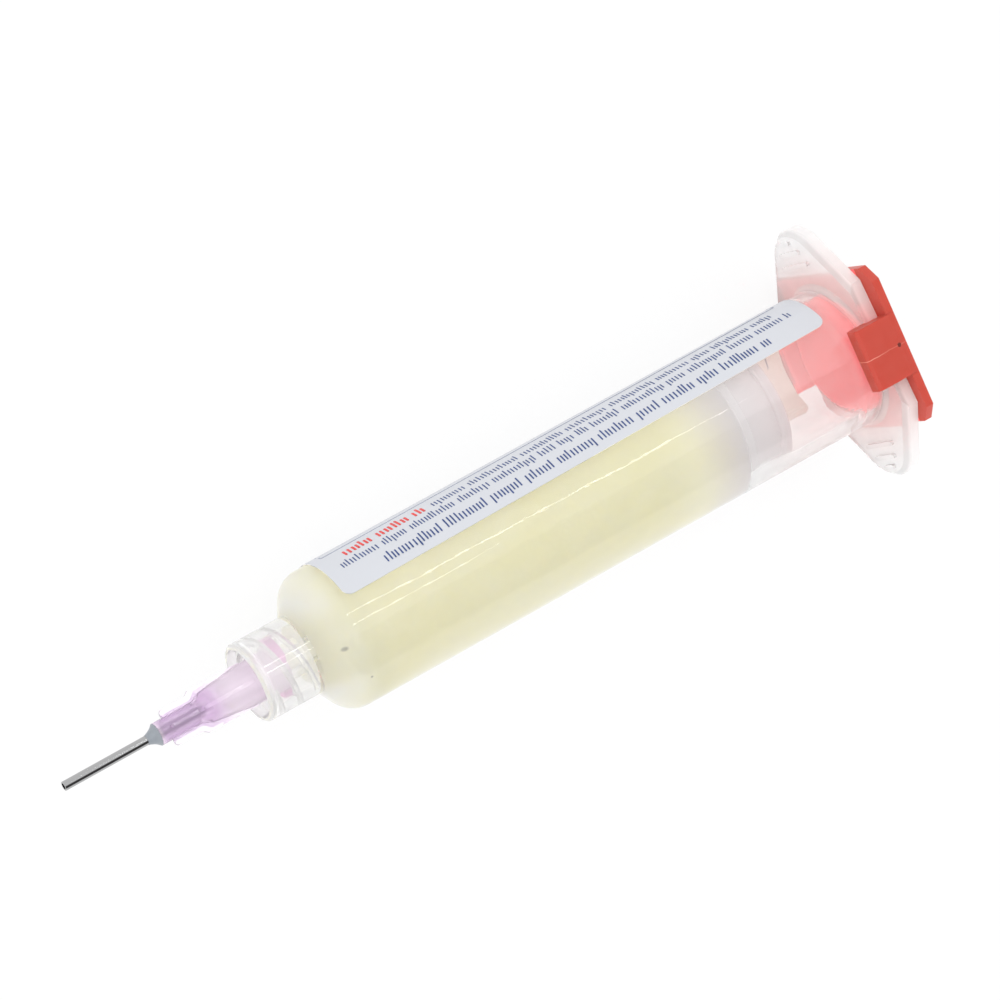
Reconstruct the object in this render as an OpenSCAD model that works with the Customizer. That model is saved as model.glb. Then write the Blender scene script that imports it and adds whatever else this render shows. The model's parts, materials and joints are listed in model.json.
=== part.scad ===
// Flux syringe: a moulded dispensing barrel with a Luer-lock needle on its nose, a wiper piston
// on the flux and a clipped end cap over its finger flange.
// It is drawn about its own axis, +X from the needle towards the cap and x = 0 at the mouth of
// the lock collar, and is then laid down as it rests: on the cap's lower clip and on the barrel.

/* [Barrel] */
// Outside radius of the barrel where its shoulder ends
barrel_r = 9.2; // [7.5:0.1:12]
// How much the outside radius grows from the shoulder to the flange
barrel_draft = 0.25; // [0:0.05:0.5]
// Inside radius of the barrel
bore_r = 7.9; // [6:0.1:8.2]
// Distance from the collar's mouth to the front face of the flange
barrel_len = 90.2; // [80:0.1:130]
// Angle between the shoulder's cone and the axis
shoulder_angle = 57; // [45:1:65]
// Radius of the round between the shoulder and the barrel
shoulder_round = 3.1; // [1:0.1:4]
// Thickness of the wall between the collar and the flux
end_wall = 1.6; // [1:0.1:3]
// Radius of the widened mouth behind the bore
mouth_r = 8.2; // [8.2:0.1:8.8]
// Depth of the widened mouth
mouth_depth = 4.6; // [3:0.1:6]
// Length of the slope between the bore and its widened mouth
mouth_slope = 1.2; // [0.3:0.1:2]

/* [Lock collar] */
// Outside radius of the lock collar
collar_r = 5.2; // [4.8:0.1:6]
// Inside radius of the lock collar
collar_bore_r = 4.15; // [4.1:0.05:4.4]
// Length of the collar, from its mouth to the shoulder
collar_len = 7.7; // [7:0.1:10]
// Thickness of the collar's floor, within its length
collar_floor = 0.4; // [0.2:0.1:1]

/* [Luer tip] */
// Outside radius of the tip at its free end
tip_r = 1.98; // [1.9:0.01:2.05]
// Growth of the tip's radius for each millimetre, 0.03 being the 6% Luer taper
tip_taper = 0.03; // [0.02:0.005:0.04]
// How far the tip stands out of the collar
tip_out = 3.2; // [1:0.1:4]
// Radius of the channel through the tip
channel_r = 1.05; // [0.6:0.05:1.3]

/* [Flange] */
// Reach of each finger wing from the axis
wing_reach = 17.4; // [15.5:0.1:22]
// Radius of each wing's end
wing_end_r = 6.2; // [2:0.1:7]
// Radius of the flange's middle
flange_r = 13.2; // [11.2:0.1:14]
// How far each flat side of the flange stands out from the barrel
flange_proud = 0.6; // [0.4:0.05:1.5]
// Thickness of the flange
flange_t = 2.05; // [1.5:0.05:3.5]
// Bevel on the flange's front edge
flange_edge = 0.7; // [0.2:0.1:1]
// Radius of the hollow round between the barrel and the flange
flange_root = 1; // [0.3:0.1:1.5]
// Angle that the wings stand at from the cap's plate, by the play between them
flange_turn = 3.6; // [0:0.1:5]
// Places of the grip ribs on each wing, from the axis
rib_places = [12.65, 14.4, 15.8];
// Lengths of the same ribs
rib_lengths = [6.8, 5, 2.4];
// Width of a grip rib
rib_w = 0.6; // [0.3:0.1:1]
// Height of a grip rib
rib_h = 0.4; // [0.2:0.1:0.8]

/* [Piston] */
// Where the piston's front wiper rim starts, from the collar's mouth
piston_x = 69.3; // [45:0.5:72]
// Length of the piston behind its nose
piston_len = 6.8; // [6.2:0.1:8]
// Radius of the piston's flat nose end
piston_nose_r = 2.4; // [1.5:0.1:4]
// Depth that the piston's waist is set in between its two wiper rims
piston_waist = 0.6; // [0.2:0.1:1]
// Width of each wiper rim
rim_w = 1.4; // [0.8:0.1:2]
// Thickness of the piston's wall
piston_wall = 0.9; // [0.6:0.1:1.5]

/* [End cap] */
// Width of the cap's plate across the wings
plate_w = 21.2; // [16:0.2:26]
// Height of the cap's plate, from clip to clip
plate_h = 24.2; // [22:0.2:24.4]
// Thickness of the cap's plate
plate_t = 1.1; // [0.8:0.1:3]
// Chamfer on the plate's corners
plate_chamfer = 1.9; // [1:0.1:4]
// Width of each clip
clip_w = 8.2; // [5:0.1:12]
// Thickness of the clip's outer wall
clip_t = 1.85; // [1.5:0.05:3]
// Length of the clip's hook in front of the flange
hook_len = 2.9; // [1.5:0.1:3.5]
// Length of the plug that enters the barrel
plug_len = 4.2; // [2:0.1:6]
// Radius of the round on the plug's nose
plug_round = 2.2; // [0.5:0.1:3]
// Thickness of the plug's wall
plug_wall = 2.2; // [1.2:0.1:3]

/* [Label] */
// Bare stretch of barrel between the label's rear edge and the cap's hooks
label_margin = 0.65; // [0.3:0.05:20]
// Distance from the collar's mouth to the label's front edge
label_x = 13.2; // [12:0.1:14]
// Angle of the middle of the label's lower edge, from the top towards the +Y wing
label_start = 35.8; // [0:0.1:90]
// Angle between the label's lower edge and the axis, as it was stuck on a little askew
label_skew = 0.75; // [-1.5:0.05:1.5]
// Angle that the label wraps round the barrel
label_wrap = 185; // [90:1:240]
// Radius of the label's corners
label_corner = 1.2; // [0.5:0.1:4]
// Thickness of the label
label_t = 0.1; // [0.06:0.01:0.2]

/* [Needle] */
// Outside radius of the needle's steel tube
tube_r = 0.6; // [0.5:0.01:0.65]
// Inside radius of the tube
tube_bore_r = 0.42; // [0.25:0.01:0.45]
// How far the tube's tip lies in front of the collar's mouth
needle_reach = 25.8; // [20:0.1:50]
// How far the tube enters its hub
tube_seat = 6.5; // [4:0.1:7]
// How far the hub's front face lies in front of the collar's mouth
hub_reach = 12.85; // [12:0.05:16]
// Radius of the hub's slim front end
hub_nose_r = 1.47; // [1.2:0.01:1.8]
// Length of the slim front end
hub_nose_len = 5.5; // [4.5:0.1:7]
// Radius of the hub where it enters the collar
hub_r = 2.75; // [2.7:0.01:3]
// How far the hub's rear end lies inside the collar
hub_in = 4.6; // [3:0.1:6]
// Radius over the hub's two locking lugs
lug_r = 3.9; // [3.6:0.01:3.95]
// Length of each lug
lug_len = 1.1; // [0.6:0.1:1.5]
// Width of each lug
lug_w = 4.2; // [2:0.1:4.5]
// Angle between a lug and the fin before it
lug_angle = 45; // [0:1:90]
// Angle that the hub stopped at when it was screwed tight, from the top towards the +Y wing
hub_turn = 12; // [0:1:90]
// Radius over the fins' front part
fin_front_r = 2.35; // [2:0.01:2.5]
// Radius over the fins' rear part
fin_rear_r = 2.82; // [2.6:0.01:3]
// Thickness of a fin
fin_t = 0.45; // [0.3:0.05:0.8]
// Number of fins round the hub
fin_count = 4; // [2:1:6]
// Length of the cone of adhesive in front of the hub
glue_len = 1.45; // [0.8:0.05:2.5]
// Radius of the hollow in the adhesive's side
glue_hollow_r = 3; // [1.5:0.1:6]

/* [Clearances] */
// Between the piston's rims and the bore
wiper_gap = 0.04; // [0.02:0.01:0.08]
// Between the plug and the barrel's mouth
plug_gap = 0.2; // [0.1:0.05:0.4]
// Between the cap's clips and the flange
clip_gap = 0.1; // [0.05:0.05:0.3]
// Between the cap's hooks and the barrel
hook_gap = 0.25; // [0.1:0.05:0.5]
// Between the hub's socket and the tip
luer_gap = 0.03; // [0.01:0.01:0.06]
// Between the tube and its hole in the hub
tube_gap = 0.02; // [0.01:0.01:0.04]
// Between two pieces that lie on each other
seat_gap = 0.03; // [0.01:0.01:0.1]
// Between the flux and what holds it
flux_gap = 0.03; // [0.01:0.01:0.1]

/* [Hidden] */
fine = 96;
small = 48;
tiny = 24;
// More than the largest radius, for blocks that cut
far = 60;
// Overlap of cuts past a face
cut = 1;

// Angle that the label's shell is longer by at each edge, before the edges are cut askew
label_spare = 8;
// How far the cut reaches past an edge
waste_w = 3;

// Places along the axis
shoulder_x = collar_len;
// Where the shoulder's cone would meet the barrel's outside without its round
shoulder_corner_x = shoulder_x + (barrel_r - collar_r) / tan(shoulder_angle);
body_x = shoulder_corner_x + shoulder_round * tan(shoulder_angle / 2);
flange_x = barrel_len;
flange_back_x = flange_x + flange_t;
collar_floor_x = collar_len - collar_floor;
flux_x = collar_floor_x + end_wall;
cap_x = flange_back_x + seat_gap;
cap_back_x = cap_x + plate_t;
barrel_rear_r = barrel_r + barrel_draft;

// Inside the shoulder, the bore's cone runs beside the outer one from a flat ring round the channel
bore_floor_w = 2.4;
bore_cone_r = channel_r + bore_floor_w;
bore_corner_x = flux_x + (bore_r - bore_cone_r) / tan(shoulder_angle);
bore_round_drop = 0.6;
bore_round_min = 0.5;
bore_round = max(bore_round_min, shoulder_round - bore_round_drop);

// The hub's cone, the rise towards its rear, the wall in front of its socket, its fins' edges and
// how far its lugs stop before its rear end
hub_cone_rise = 0.62;
hub_cone_len = 1.6;
hub_rear_rise = 0.15;
socket_wall = 1.35;
fin_setback = 1.45;
fin_edge = 0.3;
lug_setback = 0.1;

// How deep the piston's cup goes into its nose, as a share of the nose's cone, and the bevel on
// each edge of its rims
cup_cone_share = 0.7;
rim_edge = 0.25;

// Where the wings' ends are drawn from, the angle at which a straight side touches the circles and
// how far it lies inside them there
wing_end_y = wing_reach - wing_end_r;
touch = asin((flange_r - wing_end_r) / wing_end_y);
side_sink = 0.02;
// The hollow round's centre, a little nearer to both faces than a tangent one's, so that it runs
// into them
root_sink = 0.05;
root_r = barrel_rear_r + flange_root - root_sink;
root_x = flange_x - flange_root + root_sink;

// The lip of the collar's mouth
lip_round = 0.3;
lip_depth = 1;
lip_wall = 0.6;

// The cap's clips reach over the flange's flat sides, which may stand askew in them, and hook in
// front of it
flange_half = barrel_rear_r + flange_proud;
clip_in = flange_half / cos(flange_turn) + clip_w / 2 * tan(flange_turn) + clip_gap;
clip_out = clip_in + clip_t;
hook_in = barrel_rear_r + hook_gap;
hook_back_x = flange_x - clip_gap;
hook_front_x = hook_back_x - hook_len;
clip_slope = 1;
hook_edge = 0.4;
label_len = hook_front_x - label_margin - label_x;

// The syringe lies on the lower clip's front edge, and in front on the label where it wraps under
// the barrel, or else on the barrel itself
label_under = label_start < 180 && label_start + label_wrap > 180;
front_rest_x = label_under ? label_x : body_x;
front_rest_r = outside_r(front_rest_x) + (label_under ? seat_gap + label_t : 0);
back_rest_x = hook_front_x + hook_edge;
lie_angle = atan((clip_out - front_rest_r) / (back_rest_x - front_rest_x));
axis_h = clip_out * cos(lie_angle) - back_rest_x * sin(lie_angle);
front_x = -needle_reach * cos(lie_angle) - tube_r * sin(lie_angle);
rear_x = cap_back_x * cos(lie_angle) + (plate_h / 2) * sin(lie_angle);
mid_x = (front_x + rear_x) / 2;

// Radius of the barrel's outside at x
function outside_r(x) = barrel_r + barrel_draft * (x - body_x) / (flange_x - body_x);
// Radius of the Luer tip's outside at x
function luer_r(x) = tip_r + tip_taper * (x + tip_out);

// Lay the syringe down, with the middle of its length over the origin
module laid() {
    translate([-mid_x, 0, axis_h]) rotate([0, -lie_angle, 0]) children();
}

// Turn a profile of [radius, x] about the syringe's axis
module turned(facets = fine, angle = 360) {
    rotate([0, 90, 0]) rotate_extrude(angle = angle, $fn = facets) children();
}

// Stand an outline drawn in Y and Z up at x, with its thickness towards the cap
module plate_at(x, thickness) {
    translate([x, 0, 0]) rotate([90, 0, 90]) linear_extrude(thickness) children();
}

// Barrel: one moulding of body, shoulder, Luer tip, lock collar and finger flange
module barrel_outside_profile() {
    cone_x = shoulder_corner_x - (body_x - shoulder_corner_x) * cos(shoulder_angle);
    cone_r = barrel_r - (body_x - shoulder_corner_x) * sin(shoulder_angle);
    polygon([
        [0, 0], [collar_r - lip_round, 0], [collar_r, lip_round], [collar_r, shoulder_x],
        [cone_r, cone_x], [barrel_r, body_x],
        [barrel_rear_r, flange_x], [barrel_rear_r, flange_back_x], [0, flange_back_x]
    ]);
    intersection() {
        translate([barrel_r - shoulder_round, body_x]) circle(shoulder_round, $fn = fine);
        translate([0, shoulder_x]) square([barrel_r, body_x - shoulder_x]);
    }
    polygon([[0, cut], [0, -tip_out], [tip_r, -tip_out], [luer_r(cut), cut]]);
}

module barrel_inside_profile() {
    corner_leg = bore_round * tan(shoulder_angle / 2);
    polygon([
        [0, flux_x], [bore_cone_r, flux_x],
        [bore_r - corner_leg * sin(shoulder_angle), bore_corner_x - corner_leg * cos(shoulder_angle)],
        [bore_r, bore_corner_x + corner_leg],
        [bore_r, flange_back_x - mouth_depth - mouth_slope],
        [mouth_r, flange_back_x - mouth_depth],
        [mouth_r, flange_back_x + cut], [0, flange_back_x + cut]
    ]);
    intersection() {
        translate([bore_r - bore_round, bore_corner_x + corner_leg]) circle(bore_round, $fn = fine);
        translate([0, flux_x]) square([bore_r, bore_corner_x + corner_leg - flux_x]);
    }
    translate([0, -tip_out - cut]) square([channel_r, flux_x + tip_out + 2 * cut]);
}

// The pocket between the collar and the Luer tip
module collar_pocket_profile() {
    polygon([
        [luer_r(-cut), -cut], [luer_r(collar_floor_x), collar_floor_x],
        [collar_bore_r, collar_floor_x], [collar_bore_r, lip_depth],
        [collar_r - lip_wall, 0], [collar_r - lip_wall, -cut]
    ]);
}

// Corners of the wings' straight sides, set in by inset, where they run into the middle's circle
// and the ends' circles, in order round the flange
function wing_corners(inset) = [
    for (way = [1, -1], side = [-1, 1], end = side < 0 ? [1, 0] : [0, 1])
        let (r = (end == 0 ? flange_r : wing_end_r) - inset - side_sink)
        way * [side * (end * wing_end_y + r * sin(touch)), r * cos(touch)]
];

module flange_outline() {
    intersection() {
        union() {
            circle(flange_r, $fn = fine);
            for (side = [-1, 1]) translate([side * wing_end_y, 0]) circle(wing_end_r, $fn = small);
            polygon(wing_corners(0));
        }
        square([2 * wing_reach, 2 * flange_half], center = true);
    }
}

// A disc at the flange's front face that widens by the bevel
module widening_disc(y, r, facets) {
    translate([flange_x, y, 0]) rotate([0, 90, 0])
        cylinder(h = flange_edge, r1 = r - flange_edge, r2 = r, $fn = facets);
}

// The flange's front part, with the bevel round its wings but not on its flat sides
module flange_bevel() {
    corners = len(wing_corners(0));
    intersection() {
        union() {
            widening_disc(0, flange_r, fine);
            for (side = [-1, 1]) widening_disc(side * wing_end_y, wing_end_r, small);
            polyhedron(
                [
                    for (p = wing_corners(flange_edge)) [flange_x, p.x, p.y],
                    for (p = wing_corners(0)) [flange_x + flange_edge, p.x, p.y]
                ],
                concat(
                    [[for (i = [corners - 1 : -1 : 0]) i], [for (i = [0 : corners - 1]) corners + i]],
                    [for (i = [0 : corners - 1]) let (j = (i + 1) % corners) [i, j, corners + j, corners + i]]
                ));
        }
        plate_at(flange_x, flange_edge) square([2 * wing_reach, 2 * flange_half], center = true);
    }
}

// The hollow round at the flange's root, beside the clips' hooks
module flange_fillet() {
    intersection() {
        turned() translate([0, root_x]) difference() {
            square([root_r, flange_root]);
            translate([root_r, 0]) circle(flange_root, $fn = small);
        }
        translate([root_x, -far, -barrel_r]) cube([flange_root + cut, 2 * far, 2 * barrel_r]);
    }
}

module grip_ribs() {
    for (side = [-1, 1]) for (i = [0 : len(rib_places) - 1])
        translate([side * rib_places[i], 0]) {
            square([rib_w, rib_lengths[i] - rib_w], center = true);
            for (end = [-1, 1]) translate([0, end * (rib_lengths[i] - rib_w) / 2])
                circle(rib_w / 2, $fn = tiny);
        }
}

module barrel() {
    color([0.93, 0.92, 0.88, 0.5]) laid() difference() {
        union() {
            turned() barrel_outside_profile();
            rotate([-flange_turn, 0, 0]) {
                flange_bevel();
                plate_at(flange_x + flange_edge, flange_t - flange_edge) flange_outline();
                plate_at(flange_x - rib_h, rib_h + cut) grip_ribs();
            }
            flange_fillet();
        }
        turned() barrel_inside_profile();
        turned() collar_pocket_profile();
    }
}

// Flux: the column between the end wall and the piston, with a stub in the channel
module flux() {
    wall = bore_r - flux_gap;
    corner_leg = bore_round * tan(shoulder_angle / 2);
    color([0.9, 0.87, 0.6]) laid() difference() {
        turned() {
            polygon([
                [0, flux_x + flux_gap], [bore_cone_r - flux_gap, flux_x + flux_gap],
                [wall - corner_leg * sin(shoulder_angle), bore_corner_x - corner_leg * cos(shoulder_angle)],
                [wall, bore_corner_x + corner_leg],
                [wall, piston_x - flux_gap], [0, piston_x - flux_gap]
            ]);
            intersection() {
                translate([wall - bore_round, bore_corner_x + corner_leg]) circle(bore_round, $fn = fine);
                translate([0, flux_x + flux_gap]) square([wall, bore_corner_x + corner_leg - flux_x - flux_gap]);
            }
            translate([0, collar_len / 2]) square([channel_r - flux_gap, flux_x - collar_len / 2 + cut]);
        }
        turned() piston_nose_profile(flux_gap);
    }
}

// Piston: a cone-nosed cup with a wiper rim at each end of its waist
module piston_nose_profile(grow = 0) {
    nose_len = (bore_r - wiper_gap - piston_waist - piston_nose_r) / tan(shoulder_angle);
    nose_back_r = bore_r - wiper_gap - piston_waist;
    polygon([
        [0, piston_x - nose_len - grow], [piston_nose_r + grow / 2, piston_x - nose_len - grow],
        [nose_back_r + grow, piston_x], [nose_back_r + grow, piston_x + cut], [0, piston_x + cut]
    ]);
}

module wiper_piston() {
    rim_r = bore_r - wiper_gap;
    waist_r = rim_r - piston_waist;
    cup_r = waist_r - piston_wall;
    cup_floor_x = piston_x + piston_wall - cup_cone_share * (waist_r - piston_nose_r) / tan(shoulder_angle);
    color([0.88, 0.88, 0.86, 0.7]) laid() difference() {
        turned() {
            piston_nose_profile();
            translate([0, piston_x]) square([waist_r, piston_len]);
            for (x = [piston_x, piston_x + piston_len - rim_w]) polygon([
                [0, x], [rim_r - rim_edge, x], [rim_r, x + rim_edge],
                [rim_r, x + rim_w - rim_edge], [rim_r - rim_edge, x + rim_w], [0, x + rim_w]
            ]);
        }
        turned() polygon([
            [0, cup_floor_x], [piston_nose_r, cup_floor_x],
            [cup_r, piston_x + piston_wall], [cup_r, piston_x + piston_len + cut],
            [0, piston_x + piston_len + cut]
        ]);
    }
}

// End cap: a plate on the flange's back, a hollow plug and two clips over the flange's flat sides
module chamfered_plate() {
    w = plate_w / 2;
    h = plate_h / 2;
    c = plate_chamfer;
    polygon([
        [w, h - c], [w - c, h], [c - w, h], [-w, h - c],
        [-w, c - h], [c - w, -h], [w - c, -h], [w, c - h]
    ]);
}

module clip_profile() {
    polygon([
        [cap_x, 0], [cap_x, clip_in], [hook_back_x, clip_in], [hook_back_x, hook_in],
        [hook_front_x + hook_edge, hook_in], [hook_front_x, hook_in + hook_edge],
        [hook_front_x, clip_out - hook_edge], [hook_front_x + hook_edge, clip_out],
        [cap_back_x - clip_slope, clip_out], [cap_back_x, plate_h / 2], [cap_back_x, 0]
    ]);
}

module end_cap() {
    plug_r = mouth_r - plug_gap;
    recess_r = plug_r - plug_wall;
    color([0.93, 0.35, 0.25]) laid() difference() {
        union() {
            plate_at(cap_x, plate_t) chamfered_plate();
            for (side = [0, 180]) rotate([side, 0, 0]) translate([0, clip_w / 2, 0])
                rotate([90, 0, 0]) linear_extrude(clip_w) clip_profile();
            turned() {
                translate([0, cap_x - plug_len + plug_round]) square([plug_r, plug_len - plug_round + cut]);
                translate([0, cap_x - plug_len]) square([plug_r - plug_round, plug_len]);
                translate([plug_r - plug_round, cap_x - plug_len + plug_round]) circle(plug_round, $fn = small);
            }
        }
        turned() translate([0, cap_x - plug_len + plug_wall])
            square([recess_r, plug_len - plug_wall + plate_t + cut]);
    }
}

// Label: a thin sheet wrapped round the barrel, with rounded corners
module label_shell_profile() {
    lift = seat_gap;
    polygon([
        [outside_r(label_x) + lift, label_x], [outside_r(label_x) + lift + label_t, label_x],
        [outside_r(label_x + label_len) + lift + label_t, label_x + label_len],
        [outside_r(label_x + label_len) + lift, label_x + label_len]
    ]);
}

// What an edge of the label loses outside it and round its two corners, drawn with the middle of
// the edge at the origin
module edge_waste() {
    half = label_len / 2;
    difference() {
        translate([-half - cut, -waste_w]) square([2 * (half + cut), waste_w + label_corner]);
        translate([label_corner - half, 0]) square([2 * (half - label_corner), 2 * label_corner]);
        for (end = [-1, 1]) translate([end * (half - label_corner), label_corner])
            circle(label_corner, $fn = small);
    }
}

module label() {
    color([0.96, 0.97, 1]) laid() difference() {
        rotate([180 - label_start - label_wrap - label_spare, 0, 0])
            turned(fine, label_wrap + 2 * label_spare) label_shell_profile();
        for (side = [0, 1]) translate([label_x + label_len / 2, 0, 0])
            rotate([-label_start - side * label_wrap, 0, 0]) rotate([0, 0, label_skew])
                mirror([0, side, 0]) linear_extrude(far) edge_waste();
    }
}

// Needle hub: a finned socket on the Luer tip, with two lugs for the collar's thread
module hub_profile() {
    cone_x = -hub_reach + hub_nose_len;
    polygon([
        [0, -hub_reach], [hub_nose_r, -hub_reach], [hub_nose_r, cone_x],
        [hub_nose_r + hub_cone_rise, cone_x + hub_cone_len],
        [hub_r, 0], [hub_r + hub_rear_rise, hub_in], [0, hub_in]
    ]);
}

// One side of a fin, drawn in X and radius
module fin_side() {
    step_x = -hub_reach + hub_nose_len;
    fin_x = -hub_reach + fin_setback;
    polygon([
        [fin_x, 0], [fin_x, fin_front_r - fin_edge], [fin_x + fin_edge, fin_front_r],
        [step_x - fin_edge, fin_front_r], [step_x + fin_edge, fin_rear_r],
        [0, fin_rear_r], [fin_edge * 2, hub_r - fin_edge / 2], [fin_edge * 2, 0]
    ]);
}

module hub_fins() {
    for (i = [0 : fin_count - 1]) rotate([i * 360 / fin_count, 0, 0])
        translate([0, fin_t / 2, 0]) rotate([90, 0, 0]) linear_extrude(fin_t) fin_side();
}

module hub_lugs() {
    rotate([-lug_angle, 0, 0]) intersection() {
        turned(small) translate([0, hub_in - lug_setback - lug_len]) square([lug_r, lug_len]);
        translate([0, -lug_w / 2, -far / 2]) cube([hub_in + cut, lug_w, far]);
    }
}

module needle_hub() {
    socket_x = -hub_reach + tube_seat + socket_wall;
    color([0.95, 0.6, 0.85, 0.7]) laid() rotate([-hub_turn, 0, 0]) difference() {
        union() {
            turned(small) hub_profile();
            hub_fins();
            hub_lugs();
        }
        turned(small) polygon([
            [0, socket_x], [luer_r(socket_x) + luer_gap, socket_x],
            [luer_r(hub_in + cut) + luer_gap, hub_in + cut], [0, hub_in + cut]
        ]);
        turned(small) translate([0, -hub_reach - cut]) square([tube_r + tube_gap, tube_seat + cut]);
        turned(small) translate([0, -hub_reach]) square([tube_bore_r, socket_x + hub_reach + cut]);
    }
}

// Needle tube: a plain steel tube, open at both ends
module needle_tube() {
    color([0.72, 0.72, 0.74]) laid() turned(small)
        translate([tube_bore_r, -needle_reach])
            square([tube_r - tube_bore_r, needle_reach - hub_reach + tube_seat - seat_gap]);
}

// Needle adhesive: a cone with a hollow side, between the tube and the hub's front face
module needle_adhesive() {
    back_x = -hub_reach - seat_gap;
    inner_r = tube_r + tube_gap;
    rise = hub_nose_r - inner_r;
    side_len = norm([rise, glue_len]);
    // The hollow's circle passes through both ends of the side
    middle = [(inner_r + hub_nose_r) / 2, back_x - glue_len / 2];
    outward = [glue_len, -rise] / side_len;
    centre = middle + outward * sqrt(glue_hollow_r * glue_hollow_r - side_len * side_len / 4);
    color([0.45, 0.52, 0.58]) laid() turned(small) difference() {
        polygon([[inner_r, back_x], [hub_nose_r, back_x], [inner_r, back_x - glue_len]]);
        translate(centre) circle(glue_hollow_r, $fn = fine);
    }
}

barrel();
flux();
wiper_piston();
end_cap();
label();
needle_hub();
needle_tube();
needle_adhesive();
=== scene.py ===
"""Flux syringe: finishes for its moulded, printed and drawn pieces, and the fine forms on them."""

import json
import math

import bpy
import numpy as np
from bpy.props import FloatProperty, FloatVectorProperty, IntProperty, PointerProperty
from mathutils import Matrix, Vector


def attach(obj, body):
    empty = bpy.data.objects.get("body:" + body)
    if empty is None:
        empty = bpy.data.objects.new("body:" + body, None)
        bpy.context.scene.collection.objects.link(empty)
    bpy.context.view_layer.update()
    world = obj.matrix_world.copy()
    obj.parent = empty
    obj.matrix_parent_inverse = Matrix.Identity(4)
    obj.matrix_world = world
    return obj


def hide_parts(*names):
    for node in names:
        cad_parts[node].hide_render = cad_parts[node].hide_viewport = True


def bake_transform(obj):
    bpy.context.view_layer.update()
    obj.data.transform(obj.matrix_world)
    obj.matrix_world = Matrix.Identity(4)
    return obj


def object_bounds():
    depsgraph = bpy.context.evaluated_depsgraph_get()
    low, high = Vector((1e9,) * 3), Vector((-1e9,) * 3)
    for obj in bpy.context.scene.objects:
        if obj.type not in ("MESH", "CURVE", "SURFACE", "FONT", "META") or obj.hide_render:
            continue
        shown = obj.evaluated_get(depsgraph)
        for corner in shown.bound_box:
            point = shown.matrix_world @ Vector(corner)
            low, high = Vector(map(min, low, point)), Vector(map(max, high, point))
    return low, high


bl_info = {
    "name": "Flux Syringe",
    "version": (1, 0, 0),
    "blender": (4, 5, 0),
    "location": "View3D > Sidebar > Flux Syringe",
    "description": "Finishes a flux syringe's pieces and adds its thread, print and moulding marks",
    "category": "Object",
}

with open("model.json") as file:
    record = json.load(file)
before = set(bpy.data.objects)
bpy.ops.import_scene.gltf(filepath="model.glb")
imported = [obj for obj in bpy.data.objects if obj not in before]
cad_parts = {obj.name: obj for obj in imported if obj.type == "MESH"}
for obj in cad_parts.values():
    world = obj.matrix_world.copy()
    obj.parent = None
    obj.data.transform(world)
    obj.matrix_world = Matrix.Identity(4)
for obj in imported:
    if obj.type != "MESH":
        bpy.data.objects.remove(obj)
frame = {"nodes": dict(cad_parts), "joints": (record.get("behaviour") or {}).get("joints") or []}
CAD_LOW, CAD_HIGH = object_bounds()
NODES = frame["nodes"]
JOINTS = {joint["name"]: joint for joint in frame["joints"]}

# The syringe's own frame lies as the syringe does: x from the collar's mouth along the axis towards
# the cap, y towards the wing that the print faces, z away from the floor
MOUTH = np.array(JOINTS["hub_unscrew"]["pos_m"])
ALONG = -np.array(JOINTS["hub_unscrew"]["axis"])
ALONG = ALONG / np.linalg.norm(ALONG)
SIDE = np.array([0.0, 1.0, 0.0])
AXES = np.array([ALONG, SIDE, np.cross(ALONG, SIDE)])
LIE_ANGLE = math.atan2(ALONG[2], ALONG[0])
THREAD_LEAD = JOINTS["needle_back_off"]["range_m"][1]
MM = 0.001

# Points of a node whose places differ by less than this lie level
NEAR = 1e-5

# The barrel's milky share stays under a quarter, where the denoiser would draw a line
MOST_MILK = 0.24

# Specks in the flux, in millimetres: place along the axis, place towards the print's wing, radius
SPECKS = ((10.9, -0.5, 0.25), (12.3, -4.8, 0.12))

# Rows of print on the label: from and to along the axis, length of arc from the label's lower edge
# to the row's middle, height and weight as shares of a plain row's
BLUE_ROWS = (
    (0.0203, 0.0790, 0.00185, 1.15, 1.2),
    (0.0155, 0.0841, 0.00424, 1.0, 1.0),
    (0.0300, 0.0823, 0.00615, 1.0, 1.0))
RED_ROW = (0.0171, 0.0290, 0.00625, 1.3, 1.9)

# The printed frame's two ends along the axis and its two sides as lengths of arc
PRINT_FRAME = (0.0148, 0.0843, 0.0083, 0.0275)


# Sizes and colours that a user would change

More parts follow.
